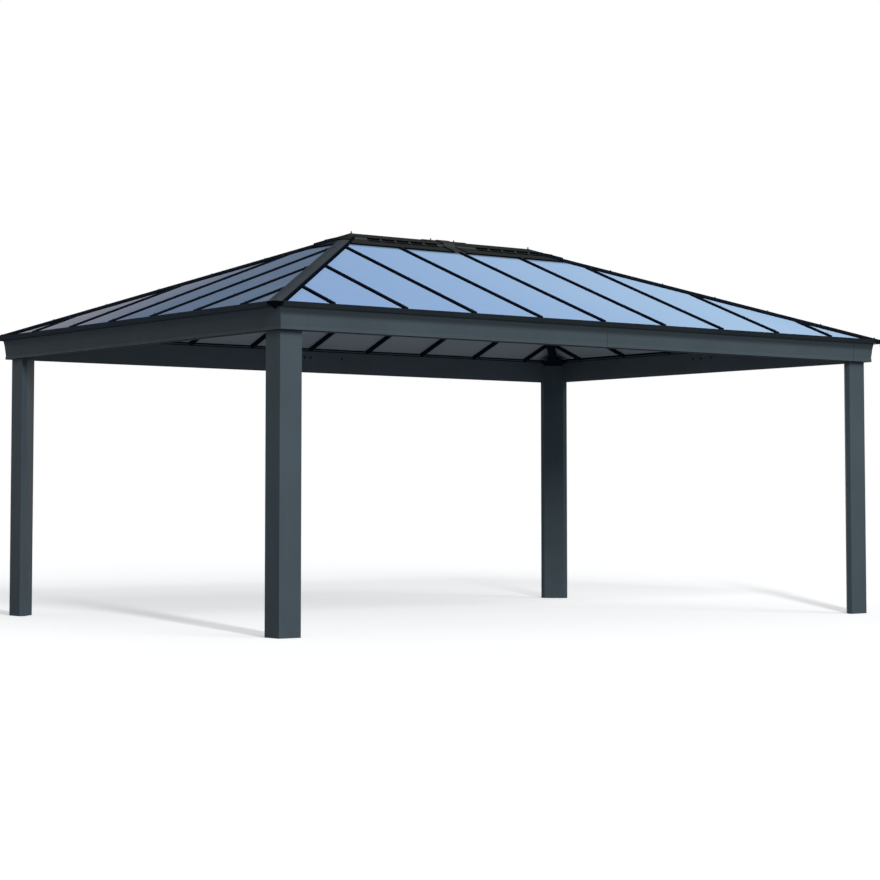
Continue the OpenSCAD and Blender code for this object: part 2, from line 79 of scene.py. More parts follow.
# Places of painted marks and painted shade, in metres, and the end of the last slot's painted shade, in
# slots
BAND_Z = HEADROOM + 0.113
BAND_FADE = (BAND_Z - 0.03, BAND_Z + 0.01)
BAND_HEAD = (FASCIA_TOP - 0.02, FASCIA_TOP - 0.006)
RAIL_INSET = 0.03
RAIL_FOOT = (BEAM_TOP + 0.006, BEAM_TOP + 0.009)
RAIL_HEAD = (BEAM_TOP + 0.015, BEAM_TOP + 0.018)
# Painted shade below the vent's slots: reach across the skirt, softness and last slot's end
SLOT_SHADE_Y = (0.124, 0.132)
SLOT_SHADE_SOFT = 0.02
SLOT_SHADE_END = (4.86, 4.9)
SKIRT_FOOT = (SKIRT_Y - 0.016, SKIRT_Y - 0.008)
VENT_SHADE = (SKIRT_Y, SKIRT_Y + 0.08)
SHEET_FLUTE = 0.011

# Screws: width and height of the head, then of the washer
SMALL_SCREW = (0.009, 0.0045, 0.016, 0.0016)
RIDGE_SCREW = (0.011, 0.013, 0.02, 0.002)
BEAM_SCREW = (0.013, 0.006, 0.022, 0.002)
BAR_SCREW_PITCH = 0.4
BAR_SCREW_INSET = 0.04
HIP_SCREW_PITCH = 0.315
HIP_SCREW_FIRST = -0.03
HIP_SCREW_COUNT = 6
HIP_SCREW_SINK = 0.0006
RIDGE_SCREW_X = (-0.935, -0.122, 0.122, 0.935)
RIDGE_SCREW_SINK = 0.001
BEAM_SCREW_Z = 2.245
BEAM_SCREW_X = (-0.06, 0.006, 0.348)
BEAM_SCREW_Y = (0.005, -0.1, -0.23)

# Seals, saddles and the other trim that the scene adds
BAR_SEAL_R = 0.0042
BAR_SEAL_GAP = 0.003
BAR_SEAL_H = 0.004
BAR_SEAL_INSET = 0.004
CAP_SEAL_R = 0.0048
CAP_SEAL_GAP = 0.004
CAP_SEAL_H = 0.005
CAP_SEAL_INSET = 0.02
# Fall of the sheets for each metre square to a hip
HIP_FALL = 0.262
LIP_R = 0.0055
JOINER_LIP_X = JOINER_W / 2 + 0.0045
# The joiner's lips on the hood and on the skirt: height at the ridge, inner end and outer end
JOINER_LIPS = (
    (HOOD_Z + 0.0045, 0.0, HOOD_Y - 0.003),
    (RIDGE_Z + 0.0125, HOOD_Y + 0.006, SKIRT_Y - 0.003),
)
SKIRT_LIP_Y = SKIRT_Y + 0.0065
SKIRT_LIP_H = 0.006
SKIRT_LIP_INSET = 0.004
COVER_START = JOINER_W / 2 + 0.002
COVER_LEFT = 0.22
COVER_RIGHT = 0.243
COVER_INSET = 0.012
COVER_LIFT = 0.0004
COVER_T = 0.0045
COVER_BEVEL = 0.0008
SADDLE_TOP = CAP_CREST + 0.008
SADDLE_HEAD = 0.0252
SADDLE_START = RISER_Y + 0.0065
SADDLE_SPLIT = 0.14
SADDLE_STEP = 0.004
SADDLE_GAP = 0.0005
SADDLE_END = 0.2
SADDLE_LIP = SADDLE_END + 0.001
SADDLE_HALF = CAP_W / 2 + 0.0018
SADDLE_WALL = 0.0016
SADDLE_FALL = 0.0065
SADDLE_FOOT = -0.008
SADDLE_BEVEL = 0.0005
MESH_X = RISER_X - 0.001
MESH_Y = RISER_Y - 0.001
MESH_T = 0.0012
MESH_GAP = 0.0005
MESH_Z = (SLOT_Z - 0.006, SLOT_Z + SLOT_H + MESH_GAP)
MESH_BEVEL = 0.0002
STRAP_SIZE = {"Width": 0.018, "Length": 0.068, "Thickness": 0.0025, "Clip": 0.012}
STRAP_OFF = 0.1
STRAP_RISE = 0.03
# Place of a strap's clip, as a share of the strap's length from its middle
STRAP_CLIP_SHARE = -0.47

# Colours, linear
SLATE = (0.045, 0.061, 0.071)
CAP = (0.051, 0.061, 0.07)
VENT = (0.027, 0.0296, 0.0296)
BLACK = (0.0055, 0.0085, 0.015)
INK = (0.002, 0.0023, 0.003)
# Trim on the long sides: darker than on the short sides as painted shadow under the sheets' edges
TRIM_LONG_SHADED = (0.0125, 0.0163, 0.0185)
TRIM_SHORT = (0.031, 0.04, 0.05)
STEEL = (0.09, 0.092, 0.095)
# Sheet tops: painted sky reflection, blue on the long slopes and lavender-grey on the short ones, going
# from the first colour to the second along each sheet
LONG_SHEET_SKY = ((0.249, 0.383, 0.623, 1), (0.4, 0.57, 0.774, 1))
SHORT_SHEET_SKY = ((0.172, 0.242, 0.359, 1), (0.396, 0.373, 0.416, 1))
SHEET_UNDER = (0.245, 0.255, 0.275, 1)
SHEET_UNDER_RIB = (0.2, 0.205, 0.222, 1)
SHEET_LIGHT = (0.8, 0.87, 1.0, 1)
SHEET_DUST = (0.5, 0.5, 0.48, 1)
METAL_DUST = (0.3, 0.28, 0.25, 1)
DARK_SCREW = (0.02, 0.021, 0.023)
SLATE_SCREW = (0.03, 0.036, 0.04)

# Finishes: roughness, specular level, dust and streaks
SLATE_FINISH = (0.5, 0.1, 0.12, 0.1)
BEAM_FINISH = (0.45, 0.5, 0.12, 0.1)
VENT_FINISH = (0.6, 0.0, 0.01, 0.04)
CAP_FINISH = (0.6, 0.0, 0.015, 0.04)
BLACK_FINISH = (0.6, 0.0, 0.01, 0.02)
INK_FINISH = (0.6, 0.0, 0.004, 0.02)
STEEL_FINISH = (0.45, 0.3, 0.1, 0.05)

# Tones of a coat as shares of its colour, the painted shade of faces that look down, and the slopes of the
# normal between which faces change
COAT_LOW = 0.94
COAT_HIGH = 1.05
RAIN_TONE = 1.5
FOOT_SHADE_TONE = 0.15
UPRIGHT_FADE = (0.55, 0.7)
FOOT_FADE = (-0.8, -0.5)

FLOAT = "NodeSocketFloat"
COLOUR = "NodeSocketColor"
VECTOR = "NodeSocketVector"
MATERIAL = "NodeSocketMaterial"
GEOMETRY = "NodeSocketGeometry"


# Node helpers
def link(tree, source, target):
    tree.links.new(source, target)


def set_input(tree, sock, value):
    if isinstance(value, bpy.types.NodeSocket):
        link(tree, value, sock)
    else:
        sock.default_value = value


def new_node(tree, kind, **inputs):
    """A node with constants or links set on its named inputs."""
    item = tree.nodes.new(kind)
    for key, value in inputs.items():
        set_input(tree, item.inputs[key.replace("_", " ")], value)
    return item


def math_node(tree, operation, *values, clamp=False):
    item = tree.nodes.new("ShaderNodeMath")
    item.operation = operation
    item.use_clamp = clamp
    for sock, value in zip(item.inputs, values):
        set_input(tree, sock, value)
    return item.outputs[0]


def times(tree, product, *values):
    """The product of two or more values."""
    for value in values:
        product = math_node(tree, "MULTIPLY", product, value)
    return product


def vector_node(tree, operation, *values):
    item = tree.nodes.new("ShaderNodeVectorMath")
    item.operation = operation
    for sock, value in zip(item.inputs, values):
        set_input(tree, sock, value)
    return item


def ramp(tree, value, low, high, start=0.0, end=1.0):
    """The value taken from one range to another, smoothly and clamped."""
    item = tree.nodes.new("ShaderNodeMapRange")
    item.interpolation_type = "SMOOTHSTEP"
    for name, number in (("From Min", low), ("From Max", high), ("To Min", start), ("To Max", end)):
        item.inputs[name].default_value = number
    link(tree, value, item.inputs["Value"])
    return item.outputs["Result"]


def blend(tree, factor, first, second):
    """Two colours mixed by a factor."""
    item = tree.nodes.new("ShaderNodeMix")
    item.data_type = "RGBA"
    for name, value in (("Factor", factor), ("A", first), ("B", second)):
        set_input(tree, item.inputs[name], value)
    return item.outputs["Result"]


def mix_shaders(tree, factor, first, second):
    item = tree.nodes.new("ShaderNodeMixShader")
    for sock, source in zip(item.inputs, (factor, first, second)):
        link(tree, source, sock)
    return item.outputs["Shader"]


def noise(tree, vector, scale, detail=2.0):
    return new_node(tree, "ShaderNodeTexNoise", Vector=vector, Scale=scale, Detail=detail).outputs["Fac"]


def object_coords(tree):
    return tree.nodes.new("ShaderNodeTexCoord").outputs["Object"]


def split_place(tree):
    """The X, Y and Z outputs of the object coordinates."""
    return new_node(tree, "ShaderNodeSeparateXYZ", Vector=object_coords(tree)).outputs


def split_normal(tree):
    """The X, Y and Z outputs of the surface's normal."""
    facing = tree.nodes.new("ShaderNodeNewGeometry").outputs["Normal"]
    return new_node(tree, "ShaderNodeSeparateXYZ", Vector=facing).outputs


def new_group(name, inputs, outputs):
    """An empty shader node group with the named sockets, and its two ends."""
    tree = bpy.data.node_groups.new(name, "ShaderNodeTree")
    for label, kind, value in inputs:
        item = tree.interface.new_socket(label, in_out="INPUT", socket_type=kind)
        item.default_value = value
    for label, kind in outputs:
        tree.interface.new_socket(label, in_out="OUTPUT", socket_type=kind)
    return tree, tree.nodes.new("NodeGroupInput"), tree.nodes.new("NodeGroupOutput")


def use_group(tree, group, **inputs):
    item = tree.nodes.new("ShaderNodeGroup")
    item.node_tree = group
    for key, value in inputs.items():
        set_input(tree, item.inputs[key.replace("_", " ")], value)
    return item.outputs


# Orange-peel grain of a powder coat, and slow changes of its tone
PEEL_DEPTH = 0.0006
coat_grain, start, end = new_group(
    "coat_grain",
    [("Grain", FLOAT, 380.0), ("Depth", FLOAT, 0.12)],
    [("Normal", VECTOR), ("Tone", FLOAT)],
)
where = object_coords(coat_grain)
peel = new_node(
    coat_grain, "ShaderNodeBump", Strength=start.outputs["Depth"], Distance=PEEL_DEPTH,
    Height=noise(coat_grain, where, start.outputs["Grain"]),
)
link(coat_grain, peel.outputs["Normal"], end.inputs["Normal"])
link(coat_grain, ramp(coat_grain, noise(coat_grain, where, 2.3, 3.0), 0.3, 0.7), end.inputs["Tone"])

# Dust that settles on faces that look up
settled_dust, start, end = new_group(
    "settled_dust",
    [("Colour", COLOUR, (0, 0, 0, 1)), ("Dust", COLOUR, METAL_DUST), ("Amount", FLOAT, 0.1)],
    [("Colour", COLOUR)],
)
upward = ramp(settled_dust, split_normal(settled_dust)["Z"], 0.25, 0.95)
patches = ramp(settled_dust, noise(settled_dust, object_coords(settled_dust), 7.0, 5.0), 0.38, 0.72)
dust = times(settled_dust, upward, patches, start.outputs["Amount"])
dusty = blend(settled_dust, dust, start.outputs["Colour"], start.outputs["Dust"])
link(settled_dust, dusty, end.inputs["Colour"])

# Faint upright marks where rain has run down
RAIN_STRETCH = (26.0, 26.0, 0.8)
rain_streaks, start, end = new_group("rain_streaks", [("Amount", FLOAT, 0.2)], [("Mask", FLOAT)])
stretch = new_node(
    rain_streaks, "ShaderNodeMapping", Vector=object_coords(rain_streaks), Scale=RAIN_STRETCH
)
streak = ramp(rain_streaks, noise(rain_streaks, stretch.outputs["Vector"], 1.0, 3.0), 0.5, 0.75)
level = math_node(rain_streaks, "ABSOLUTE", split_normal(rain_streaks)["Z"])
upright = math_node(rain_streaks, "SUBTRACT", 1.0, level)
link(rain_streaks, times(rain_streaks, streak, upright, start.outputs["Amount"]), end.inputs["Mask"])

# Thin line where a coordinate is at a place
JOINT_FADE = (0.002, 0.006)
joint_line, start, end = new_group(
    "joint_line",
    [("Coordinate", FLOAT, 0.0), ("Place", FLOAT, 0.0)],
    [("Mask", FLOAT)],
)
off = math_node(joint_line, "SUBTRACT", start.outputs["Coordinate"], start.outputs["Place"])
off = math_node(joint_line, "ABSOLUTE", off)
link(joint_line, ramp(joint_line, off, *JOINT_FADE, 1.0, 0.0), end.inputs["Mask"])


def new_material(name):
    """An empty material with its node tree and principled shader."""
    mat = bpy.data.materials.new(name)
    mat.use_nodes = True
    tree = mat.node_tree
    tree.nodes.clear()
    out = tree.nodes.new("ShaderNodeOutputMaterial")
    shader = tree.nodes.new("ShaderNodeBsdfPrincipled")
    link(tree, shader.outputs["BSDF"], out.inputs["Surface"])
    return mat, tree, shader


def shade(colour, factor):
    return tuple(c * factor for c in colour[:3]) + (1,)


def coat(name, colour, roughness, specular, dust, streaks, side=None, extra=None, shaded_matt_foot=False):
    """Powder-coated metal. Upright faces may have a second colour, and faces that look down may get painted
    shade and a dull finish.
    """
    mat, tree, shader = new_material(name)
    grain = use_group(tree, coat_grain)
    base = blend(tree, grain["Tone"], shade(colour, COAT_LOW), shade(colour, COAT_HIGH))
    if side:
        base = blend(tree, ramp(tree, split_normal(tree)["Z"], *UPRIGHT_FADE), (*side, 1), base)
    rain = use_group(tree, rain_streaks, Amount=streaks)["Mask"]
    base = blend(tree, rain, base, shade(colour, RAIN_TONE))
    base = use_group(tree, settled_dust, Colour=base, Amount=dust)["Colour"]
    if extra:
        base = extra(tree, base)
    rough = math_node(tree, "ADD", rain, roughness, clamp=True)
    if shaded_matt_foot:
        # Painted shade: faces that look down are darkened and made dull
        down = ramp(tree, split_normal(tree)["Z"], *FOOT_FADE, 1.0, 0.0)
        base = blend(tree, down, base, shade(colour, FOOT_SHADE_TONE))
        rough = math_node(tree, "MAXIMUM", rough, down)
    link(tree, base, shader.inputs["Base Color"])
    link(tree, rough, shader.inputs["Roughness"])
    link(tree, grain["Normal"], shader.inputs["Normal"])
    shader.inputs["Specular IOR Level"].default_value = specular
    return mat


def draw_lines(tree, base, lines):
    """Dark joint lines: a coordinate, its place and the line's strength."""
    place = split_place(tree)
    for axis, where, strength in lines:
        line = use_group(tree, joint_line, Coordinate=place[axis], Place=where)["Mask"]
        base = blend(tree, times(tree, line, strength), base, shade(SLATE, 0.25))
    return base


def fascia_shade_and_joints(tree, base):
    """Painted shade on the fascia's top band on the long sides, as under the rim's shadow, lessening just
    under the rim; and its joints.
    """
    place = split_place(tree)
    long_side = ramp(tree, math_node(tree, "ABSOLUTE", split_normal(tree)["Y"]), 0.4, 0.6)
    # Painted shade: the top band darkened on faces that look along Y
    shade_band = ramp(tree, place["Z"], *BAND_FADE)
    head = ramp(tree, place["Z"], *BAND_HEAD, 1.0, 0.45)
    base = blend(tree, times(tree, shade_band, head, long_side, 0.85), base, shade(SLATE, 0.33))
    return draw_lines(tree, base, (("X", 0.0, 0.5), ("X", CORNER_X - CORNER_LEG, 0.5)))


def inner_rail(axis, corner):
    """The slate rail inside a black trim, with dark lines along its foot and its head."""
    edge = corner - RAIL_INSET

    def marks(tree, base):
        place = split_place(tree)
        inside = ramp(tree, math_node(tree, "ABSOLUTE", place[axis]), edge - 0.01, edge, 1.0, 0.0)
        base = blend(tree, inside, base, shade(SLATE, 1.5))
        low = ramp(tree, place["Z"], *RAIL_FOOT, 1.0, 0.0)
        high = ramp(tree, place["Z"], *RAIL_HEAD)
        line = times(tree, math_node(tree, "MAXIMUM", low, high), inside)
        return blend(tree, line, base, (*INK, 1))
    return marks


def from_ridge(tree, place):
    """How far a place lies in plan from the ridge line, towards any of the four eaves."""
    end = math_node(tree, "SUBTRACT", math_node(tree, "ABSOLUTE", place["X"]), HIP_MEET)
    return math_node(tree, "MAXIMUM", math_node(tree, "ABSOLUTE", place["Y"]), end)


def skirt_slot_shade_and_foot(tree, base):
    """Painted shade on the skirt below each slot, widening the slots' dark openings, and the skirt's black
    foot.
    """
    place = split_place(tree)
    # Painted shade below the slots: dark bands on the skirt under each slot
    near = ramp(tree, math_node(tree, "ABSOLUTE", place["Y"]), *SLOT_SHADE_Y, 1.0, 0.0)
    for row_start in SLOT_ROWS:
        count = math_node(tree, "SUBTRACT", place["X"], row_start)
        count = math_node(tree, "DIVIDE", count, SLOT_PITCH)
        share = math_node(tree, "FRACT", count)
        slot_shade = ramp(tree, share, SLOT_SHARE - SLOT_SHADE_SOFT, SLOT_SHARE + SLOT_SHADE_SOFT, 1.0, 0.0)
        first = ramp(tree, count, -SLOT_SHADE_SOFT, SLOT_SHADE_SOFT)
        last = ramp(tree, count, *SLOT_SHADE_END, 1.0, 0.0)
        base = blend(tree, times(tree, slot_shade, first, last, near), base, (*INK, 1))
    return blend(tree, ramp(tree, from_ridge(tree, place), *SKIRT_FOOT), base, (*INK, 1))


slate = coat("slate_coat", SLATE, *SLATE_FINISH)
slate_beam = coat("slate_coat_beam", SLATE, *BEAM_FINISH, shaded_matt_foot=True)
slate_fascia = coat(
    "slate_coat_jointed", shade(SLATE, 0.93), *SLATE_FINISH, extra=fascia_shade_and_joints, shaded_matt_foot=True
)
charcoal = coat("charcoal_coat", VENT, *VENT_FINISH)
# The riser's charcoal is lightened as painted light on its upright faces
charcoal_riser_lit = coat("charcoal_riser_lit", shade(VENT, 1.9), *VENT_FINISH)
charcoal_joiner = coat("charcoal_joiner", shade(VENT, 1.5), *VENT_FINISH)
charcoal_skirt = coat("charcoal_skirt", VENT, *VENT_FINISH, side=BLACK, extra=skirt_slot_shade_and_foot)
charcoal_saddle = coat("charcoal_saddle", VENT, *VENT_FINISH, side=BLACK)
charcoal_cap = coat("charcoal_cap", CAP, *CAP_FINISH, side=BLACK)
black = coat("black_coat", BLACK, *BLACK_FINISH)
ink = coat("ink_coat", INK, *INK_FINISH)
# The long-side trim's darker colour is painted shadow under the sheets' edges
long_trim = coat("black_trim_long", TRIM_LONG_SHADED, *BLACK_FINISH, extra=inner_rail("Y", CORNER_Y))
short_trim = coat("black_trim_short", TRIM_SHORT, *BLACK_FINISH, extra=inner_rail("X", CORNER_X))
foot_steel = coat("foot_steel", STEEL, *STEEL_FINISH)


def sheet_material(name, along, span, first, second):
    """Twin-wall roof sheet: a top colour with a painted sky reflection that changes along one axis, fine
    flutes and a grey underside.
    """
    mat, tree, shader = new_material(name)
    place = split_place(tree)
    # Painted sky reflection: the top's colour changes along the sheet
    tint = blend(tree, ramp(tree, place[along], *span), first, second)
    sky = ramp(tree, noise(tree, object_coords(tree), 0.7, 1.0), 0.3, 0.7)
    tint = blend(tree, times(tree, sky, 0.2), tint, shade(first, 1.08))
    rib = math_node(tree, "SINE", times(tree, place[along], math.tau / SHEET_FLUTE))
    rib = ramp(tree, rib, 0.8, 1.0)
    tint = blend(tree, times(tree, rib, 0.12), tint, shade(first, 0.7))
    # Painted shade on the sheets just below the vent's skirt
    painted_vent_shade = ramp(tree, from_ridge(tree, place), *VENT_SHADE, 0.8, 0.0)
    tint = blend(tree, painted_vent_shade, tint, shade(first, 0.15))
    top = ramp(tree, split_normal(tree)["Z"], -0.1, 0.1)
    under = blend(tree, times(tree, rib, 0.2), SHEET_UNDER, SHEET_UNDER_RIB)
    colour = blend(tree, top, under, tint)
    dusty = use_group(tree, settled_dust, Colour=colour, Dust=SHEET_DUST, Amount=0.06)
    link(tree, dusty["Colour"], shader.inputs["Base Color"])
    bump = new_node(tree, "ShaderNodeBump", Strength=0.08, Distance=0.0005, Height=rib)
    link(tree, bump.outputs["Normal"], shader.inputs["Normal"])
    haze = noise(tree, object_coords(tree), 3.0, 3.0)
    link(tree, ramp(tree, haze, 0.3, 0.7, 0.32, 0.46), shader.inputs["Roughness"])
    shader.inputs["Specular IOR Level"].default_value = 0.0
    clear = new_node(tree, "ShaderNodeBsdfTransparent", Color=SHEET_LIGHT)
    path = tree.nodes.new("ShaderNodeLightPath")
    through = times(tree, path.outputs["Is Shadow Ray"], 0.05)
    out = next(item for item in tree.nodes if item.type == "OUTPUT_MATERIAL")
    mixed = mix_shaders(tree, through, shader.outputs["BSDF"], clear.outputs["BSDF"])
    link(tree, mixed, out.inputs["Surface"])
    return mat


long_sheet = sheet_material("long_roof_sheet", "X", (-EAVE_X, EAVE_X), *LONG_SHEET_SKY)
short_sheet = sheet_material("short_roof_sheet", "Y", (-0.3, EAVE_Y), *SHORT_SHEET_SKY)


def hard_material(name, colour, metallic, roughness, specular):
    """Plated screw or moulded rubber with fine mottling."""
    mat, tree, shader = new_material(name)
    mottle = ramp(tree, noise(tree, object_coords(tree), 240.0, 3.0), 0.35, 0.65)
    link(tree, blend(tree, mottle, shade(colour, 0.8), shade(colour, 1.15)), shader.inputs["Base Color"])
    link(tree, ramp(tree, mottle, 0, 1, roughness, roughness + 0.12), shader.inputs["Roughness"])
    shader.inputs["Metallic"].default_value = metallic
    shader.inputs["Specular IOR Level"].default_value = specular
    return mat


dark_screw = hard_material("dark_screw", DARK_SCREW, 0.6, 0.4, 0.2)
slate_screw = hard_material("slate_screw", SLATE_SCREW, 0.5, 0.4, 0.2)
rubber = hard_material("seal_rubber", INK, 0.0, 0.8, 0.0)

NODE_FINISHES = {
    "foot_plates": foot_steel,
    "hip_end_caps": ink,
    "vent_skirt": charcoal_skirt,
    "vent_riser": charcoal_riser_lit,
    "vent_joiner": charcoal_joiner,
}
NODE_FINISHES.update((side + "_beam", slate_beam) for side in SIDES)


def node_finish(name):
    """The material of a CAD node."""
    on_long_side = name.startswith(LONG_SIDES)
    if name in NODE_FINISHES:
        return NODE_FINISHES[name]
    if name.endswith("roof_sheets"):
        return long_sheet if on_long_side else short_sheet
    if name.endswith("eave_trim"):
        return long_trim if on_long_side else short_trim
    if "fascia" in name:
        return slate_fascia
    if name.startswith(("post_front", "post_back")):
        return slate
    if name.startswith("hip_cap"):
        return charcoal_cap
    if name.startswith("vent"):
        return charcoal
    return black


for name, obj in nodes.items():
    obj.data.materials.clear()
    obj.data.materials.append(node_finish(name))


# Geometry node helpers
def geometry_tree(name, inputs):
    """A geometry node tree with named inputs; gives the tree, its ends and the inputs' identifiers."""
    tree = bpy.data.node_groups.new(name, "GeometryNodeTree")
    tree.interface.new_socket("Geometry", in_out="INPUT", socket_type=GEOMETRY)
    keys = {}
    for label, kind in inputs:
        keys[label] = tree.interface.new_socket(label, in_out="INPUT", socket_type=kind).identifier
    tree.interface.new_socket("Geometry", in_out="OUTPUT", socket_type=GEOMETRY)
    return tree, tree.nodes.new("NodeGroupInput"), tree.nodes.new("NodeGroupOutput"), keys


def lifted(tree, mesh, height):
    """A mesh moved up by a height."""
    spot = new_node(tree, "ShaderNodeCombineXYZ", Z=height).outputs["Vector"]
    return new_node(tree, "GeometryNodeTransform", Geometry=mesh, Translation=spot).outputs["Geometry"]


def cylinder(tree, sides, radius, depth):
    item = new_node(tree, "GeometryNodeMeshCylinder", Vertices=sides, Radius=radius, Depth=depth)
    return item.outputs["Mesh"]


def block(tree, x, y, z):
    size = new_node(tree, "ShaderNodeCombineXYZ", X=x, Y=y, Z=z).outputs["Vector"]
    return new_node(tree, "GeometryNodeMeshCube", Size=size).outputs["Mesh"]


def joined(tree, *meshes):
    item = tree.nodes.new("GeometryNodeJoinGeometry")
    for mesh in meshes:
        link(tree, mesh, item.inputs["Geometry"])
    return item.outputs["Geometry"]


def at_points(tree, points, shape):
    """A shape at each point, with its Z axis along the point's aim."""
    aim = tree.nodes.new("GeometryNodeInputNamedAttribute")
    aim.data_type = "FLOAT_VECTOR"
    aim.inputs["Name"].default_value = "aim"
    turn = new_node(tree, "FunctionNodeAlignRotationToVector", Vector=aim.outputs["Attribute"])
    turn.axis = "Z"
    scatter = new_node(
        tree, "GeometryNodeInstanceOnPoints",
        Points=points, Instance=shape, Rotation=turn.outputs["Rotation"],
    )
    return scatter.outputs["Instances"]


def finish_tree(tree, geometry, start, end):
    """Realised instances with the chosen material at the tree's end."""
    real = new_node(tree, "GeometryNodeRealizeInstances", Geometry=geometry).outputs["Geometry"]
    paint = new_node(tree, "GeometryNodeSetMaterial", Geometry=real, Material=start.outputs["Material"])
    link(tree, paint.outputs["Geometry"], end.inputs["Geometry"])


# Hex-head screw on a washer at each point, standing along the point's aim
SCREW_INPUTS = ("Head Width", "Head Height", "Washer Width", "Washer Height")
screws_tree, start, end, screws_keys = geometry_tree(
    "screws", [(label, FLOAT) for label in SCREW_INPUTS] + [("Material", MATERIAL)]
)
head_r = times(screws_tree, start.outputs["Head Width"], 0.5)
head_h = start.outputs["Head Height"]
washer_r = times(screws_tree, start.outputs["Washer Width"], 0.5)
washer_h = start.outputs["Washer Height"]
washer = cylinder(screws_tree, 20, washer_r, washer_h)
washer = lifted(screws_tree, washer, times(screws_tree, washer_h, 0.5))
head = cylinder(screws_tree, 6, head_r, head_h)
head = lifted(screws_tree, head, math_node(screws_tree, "ADD", washer_h, times(screws_tree, head_h, 0.5)))
crown = new_node(
    screws_tree, "GeometryNodeMeshCone", Vertices=18,
    Radius_Top=times(screws_tree, head_r, 0.55),
    Radius_Bottom=times(screws_tree, head_r, 0.86),
    Depth=times(screws_tree, head_h, 0.25),
)
crown = lifted(screws_tree, crown.outputs["Mesh"], math_node(screws_tree, "ADD", washer_h, head_h))
screw = joined(screws_tree, washer, head, crown)
finish_tree(screws_tree, at_points(screws_tree, start.outputs["Geometry"], screw), start, end)

# Round seal along each edge
seal_tree, start, end, seal_keys = geometry_tree("seals", [("Radius", FLOAT), ("Material", MATERIAL)])
lines = new_node(seal_tree, "GeometryNodeMeshToCurve", Mesh=start.outputs["Geometry"])
ring = new_node(seal_tree, "GeometryNodeCurvePrimitiveCircle", Resolution=8, Radius=start.outputs["Radius"])
tube = new_node(
    seal_tree, "GeometryNodeCurveToMesh",
    Curve=lines.outputs["Curve"], Profile_Curve=ring.outputs["Curve"], Fill_Caps=True,
)
finish_tree(seal_tree, tube.outputs["Mesh"], start, end)

# Flat strap with a turned-down clip at each point, along the point's aim
strap_tree, start, end, strap_keys = geometry_tree(
    "straps", [(label, FLOAT) for label in STRAP_SIZE] + [("Material", MATERIAL)]
)
strap_w, strap_t = start.outputs["Width"], start.outputs["Thickness"]
strap = block(strap_tree, strap_w, strap_t, start.outputs["Length"])
clip = block(strap_tree, strap_w, start.outputs["Clip"], strap_t)
clip = lifted(strap_tree, clip, times(strap_tree, start.outputs["Length"], STRAP_CLIP_SHARE))
strap = joined(strap_tree, strap, clip)
finish_tree(strap_tree, at_points(strap_tree, start.outputs["Geometry"], strap), start, end)


def grown(name, mesh, tree, keys, values):
    """A plain mesh piece made by a geometry node tree from a seed mesh."""
    seed = bpy.data.objects.new(name, mesh)
    scene.collection.objects.link(seed)
    modifier = seed.modifiers.new(name, "NODES")
    modifier.node_group = tree
    for label, value in values.items():
        modifier[keys[label]] = value
    seed.update_tag()
    graph = bpy.context.evaluated_depsgraph_get()
    made = bpy.data.meshes.new_from_object(seed.evaluated_get(graph))
    seed.modifiers.clear()
    seed.data = made
    made.name = name
    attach(seed, "root")


def seed_points(name, points):
    """A mesh of loose points, each with its aim, from pairs of place and direction."""
    mesh = bpy.data.meshes.new(name + "_points")
    mesh.from_pydata([tuple(place) for place, aim in points], [], [])
    store = mesh.attributes.new("aim", "FLOAT_VECTOR", "POINT")
    for item, (place, aim) in zip(store.data, points):
        item.vector = aim
    return mesh


def seed_lines(name, pairs):
    """A mesh of loose edges, from pairs of places."""
    mesh = bpy.data.meshes.new(name + "_lines")
    places = [tuple(place) for pair in pairs for place in pair]
    mesh.from_pydata(places, [(i, i + 1) for i in range(0, len(places), 2)], [])
    return mesh


def add_screws(name, points, size, mat):
    values = dict(zip(SCREW_INPUTS, size), Material=mat)
    grown(name, seed_points(name, points), screws_tree, screws_keys, values)


def add_seals(name, pairs, radius):
    values = {"Radius": radius, "Material": rubber}
    grown(name, seed_lines(name, pairs), seal_tree, seal_keys, values)


# Places on the four slopes: u along the eave, v in plan from the eave, h square to the sheets
def on_slope(side, u, v, h):
    depth = (EAVE_Y if side in LONG_SIDES else EAVE_X) - v + h * math.sin(PITCH)
    z = EAVE_Z + v * math.tan(PITCH) + h * math.cos(PITCH)
    return {
        "front": Vector((u, -depth, z)),
        "back": Vector((u, depth, z)),
        "left": Vector((-depth, u, z)),
        "right": Vector((depth, u, z)),
    }[side]


def slope_normal(side):
    lean, rise = math.sin(PITCH), math.cos(PITCH)
    return {
        "front": Vector((0, -lean, rise)),
        "back": Vector((0, lean, rise)),
        "left": Vector((-lean, 0, rise)),
        "right": Vector((lean, 0, rise)),
    }[side]


def side_bars(side):
    return LONG_BARS if side in LONG_SIDES else SHORT_BARS


def bar_run(side, u):
    """How far in plan a bar's flange runs up from the eave."""
    half = EAVE_X if side in LONG_SIDES else EAVE_Y
    return min(half - CAP_CLEAR - abs(u) - FLANGE_W / 2, EAVE_Y - SKIRT_Y - SKIRT_PLAY)


